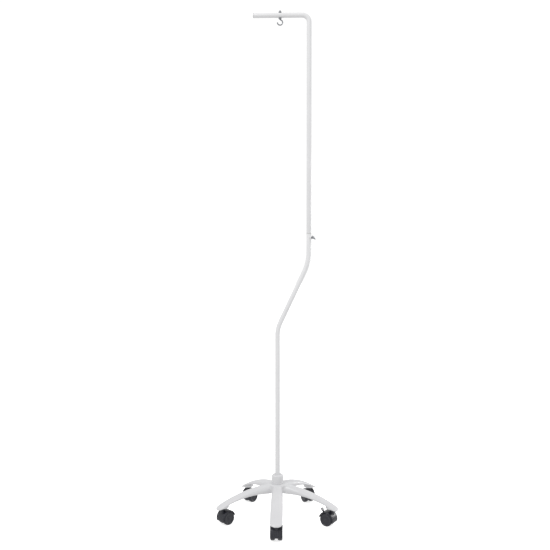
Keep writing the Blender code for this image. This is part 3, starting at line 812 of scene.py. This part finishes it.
def wheel_mesh(radius):
    """One wheel about Z, from its inner face to its outer one, with a dished outer disc."""
    out = WHEEL_OUT
    profile = [
        (0, out - 0.0004),
        (0.0042, out - 0.0004, 0.0008),
        (0.0054, out - 0.0016, 0.0006),
        (0.0130, out - 0.0022, 0.0010),
        (0.0172, out - 0.0014, 0.0008),
        (0.0184, out, 0.0007),
        (radius - 0.0042, out, 0.0012),
        (radius - 0.0012, out - 0.0012, 0.0018),
        (radius, out - 0.0042, 0.0012),
        (radius, WHEEL_IN + 0.0045, 0.0022),
        (radius - 0.0014, WHEEL_IN + 0.0016, 0.0018),
        (radius - 0.0045, WHEEL_IN, 0.0014),
        (0.0185, WHEEL_IN, 0.0006),
        (0.0176, WHEEL_IN + 0.0040, 0.0010),
        (0.0070, WHEEL_IN + 0.0040, 0.0010),
        (0.0060, WHEEL_IN, 0.0004),
        (AXLE_BORE_R, WHEEL_IN),
        (AXLE_BORE_R, out - 0.0050),
        (0, out - 0.0050),
    ]
    return turned("wheel", profile, 80)


def add_casters():
    """Stem, hood and two wheels for each swivel joint, and the pedal on the braked one."""
    stem_low, stem_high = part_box("front_caster_stem")
    axle_z = JOINTS["wheel_front_a"]["pos_m"][2]
    plain_hood = bevelled(hood_mesh(axle_z), 0.0007, 3)
    wheel = wheel_mesh(axle_z)
    flange = SOCKET_Z - 0.0003
    stem = [
        (0, stem_high.z),
        (STEM_R, stem_high.z, 0.0008),
        (STEM_R, flange),
        (STEM_FLANGE_R, flange, 0.0003),
        (STEM_FLANGE_R, flange - 0.0010, 0.0003),
        (STEM_R, flange - 0.0010),
        (STEM_R, stem_low.z, 0.0005),
        (0, stem_low.z),
    ]
    stem_mesh = turned("stem", stem, 40)
    for name in CASTERS:
        pos = Vector(JOINTS[f"swivel_{name}"]["pos_m"])
        axle = Vector(JOINTS[f"wheel_{name}_a"]["pos_m"])
        yaw = math.degrees(math.atan2(axle.y - pos.y, axle.x - pos.x))
        place = at(pos.x, pos.y, 0) @ turn(yaw, "Z")
        body = f"{name}_caster"
        stem_here = copied(stem_mesh, place)
        show(f"{name}_stem_turned", stem_here, "zinc", "base", f"{name}_caster_stem")
        hood = plain_hood
        if name == BRAKED:
            pivot = Vector(JOINTS["brake_lever"]["pos_m"])
            local = place.inverted() @ pivot
            slot = box((local.x - 0.0052, 0.07), (-0.0023, 0.0023), (local.z - 0.0052, 0.07))
            hood = bevelled(combined(hood_mesh(axle_z), "DIFFERENCE", slot), 0.0005, 2)
        hood_here = copied(hood, place)
        show(f"{name}_hood_moulded", hood_here, "black_plastic", body, f"{name}_caster_hood")
        for letter, quarter in (("a", -90), ("b", 90)):
            spin = place @ at(TRAIL, 0, axle_z) @ turn(quarter, "X")
            node = f"{name}_wheel_{letter}"
            show(f"{node}_moulded", copied(wheel, spin), "grey_tread", node, node)
    lever = bevelled(copied(frame["nodes"]["brake_lever"].data), 0.0006, 3)
    show("brake_pedal", lever, "black_plastic", "brake_lever", "brake_lever")


# ---- Surroundings ----


def plain_white(name, colour, glow):
    """A matt material with a white glow."""
    made = bpy.data.materials.new(name)
    made.use_nodes = True
    shader = made.node_tree.nodes["Principled BSDF"]
    shader.inputs["Base Color"].default_value = (*colour, 1.0)
    shader.inputs["Roughness"].default_value = 0.9
    shader.inputs["Specular IOR Level"].default_value = 0.0
    shader.inputs["Emission Color"].default_value = (1.0, 1.0, 1.0, 1.0)
    shader.inputs["Emission Strength"].default_value = glow
    return made


def add_stage():
    """A glowing floor and backdrop that only the camera sees, so neither lights the object."""
    bm = bmesh.new()
    bmesh.ops.create_circle(bm, cap_ends=True, segments=96, radius=FLOOR_R)
    floor = bpy.data.objects.new("studio_floor", mesh_of(bm, "studio_floor"))
    floor.data.materials.append(plain_white("pale_floor", (0.90, 0.90, 0.90), FLOOR_GLOW))
    bm = bmesh.new()
    bmesh.ops.create_uvsphere(bm, u_segments=64, v_segments=32, radius=BACKDROP_R)
    backdrop = bpy.data.objects.new("studio_backdrop", mesh_of(bm, "studio_backdrop"))
    backdrop.data.materials.append(plain_white("pale_backdrop", (0.0, 0.0, 0.0), BACKDROP_GLOW))
    for obj in (floor, backdrop):
        bpy.context.scene.collection.objects.link(obj)
        obj.visible_diffuse = False
        obj.visible_glossy = False
        obj.visible_transmission = False
        obj.visible_shadow = False


def add_area(name, place, aim, size, watts):
    lamp = bpy.data.lights.new(name, "AREA")
    lamp.shape = "DISK"
    lamp.size = size
    lamp.energy = watts
    obj = bpy.data.objects.new(name, lamp)
    bpy.context.scene.collection.objects.link(obj)
    obj.location = place
    obj.rotation_mode = "QUATERNION"
    obj.rotation_quaternion = (Vector(aim) - Vector(place)).to_track_quat("-Z", "Y")


def add_lights():
    """A soft surround, a little brighter above than below, and three lamps."""
    world = bpy.data.worlds.new("studio")
    bpy.context.scene.world = world
    world.use_nodes = True
    tree = world.node_tree
    coords = tree.nodes.new("ShaderNodeTexCoord")
    split = tree.nodes.new("ShaderNodeSeparateXYZ")
    link(tree, coords, "Generated", split, "Vector")
    back = tree.nodes["Background"]
    back.inputs["Color"].default_value = (1.0, 1.0, 1.0, 1.0)
    link(tree, remap(tree, split, "Z", *SURROUND_LEVEL, -1.0, 1.0), "Result", back, "Strength")
    for lamp in LAMPS:
        add_area(*lamp)


def add_camera():
    lens = bpy.data.cameras.new("camera")
    lens.lens = CAMERA_LENS
    lens.sensor_width = 36.0
    lens.clip_start = 0.05
    lens.clip_end = 60.0
    camera = bpy.data.objects.new("camera", lens)
    bpy.context.scene.collection.objects.link(camera)
    camera.location = CAMERA_AT
    camera.rotation_euler = (math.radians(90 - CAMERA_DOWN), 0, math.radians(CAMERA_YAW))
    bpy.context.scene.camera = camera
    bpy.context.scene.view_settings.view_transform = "Standard"


for thing in list(bpy.data.objects):
    bpy.data.objects.remove(thing)
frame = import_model()
JOINTS = {joint["name"]: joint for joint in frame["joints"]}
CASTERS = [name.removeprefix("swivel_") for name in JOINTS if name.startswith("swivel_")]
MATERIALS = build_materials()
SLOTS = {entry["node"]: entry["material_slot"] for entry in frame["record"]["subparts"]}
for node_name, node in frame["nodes"].items():
    node.data.materials.clear()
    node.data.materials.append(MATERIALS[SLOTS[node_name]])

hub_line = add_base()
add_pole(hub_line)
add_lock_screw()
add_hook()
add_casters()
add_stage()
add_lights()
add_camera()
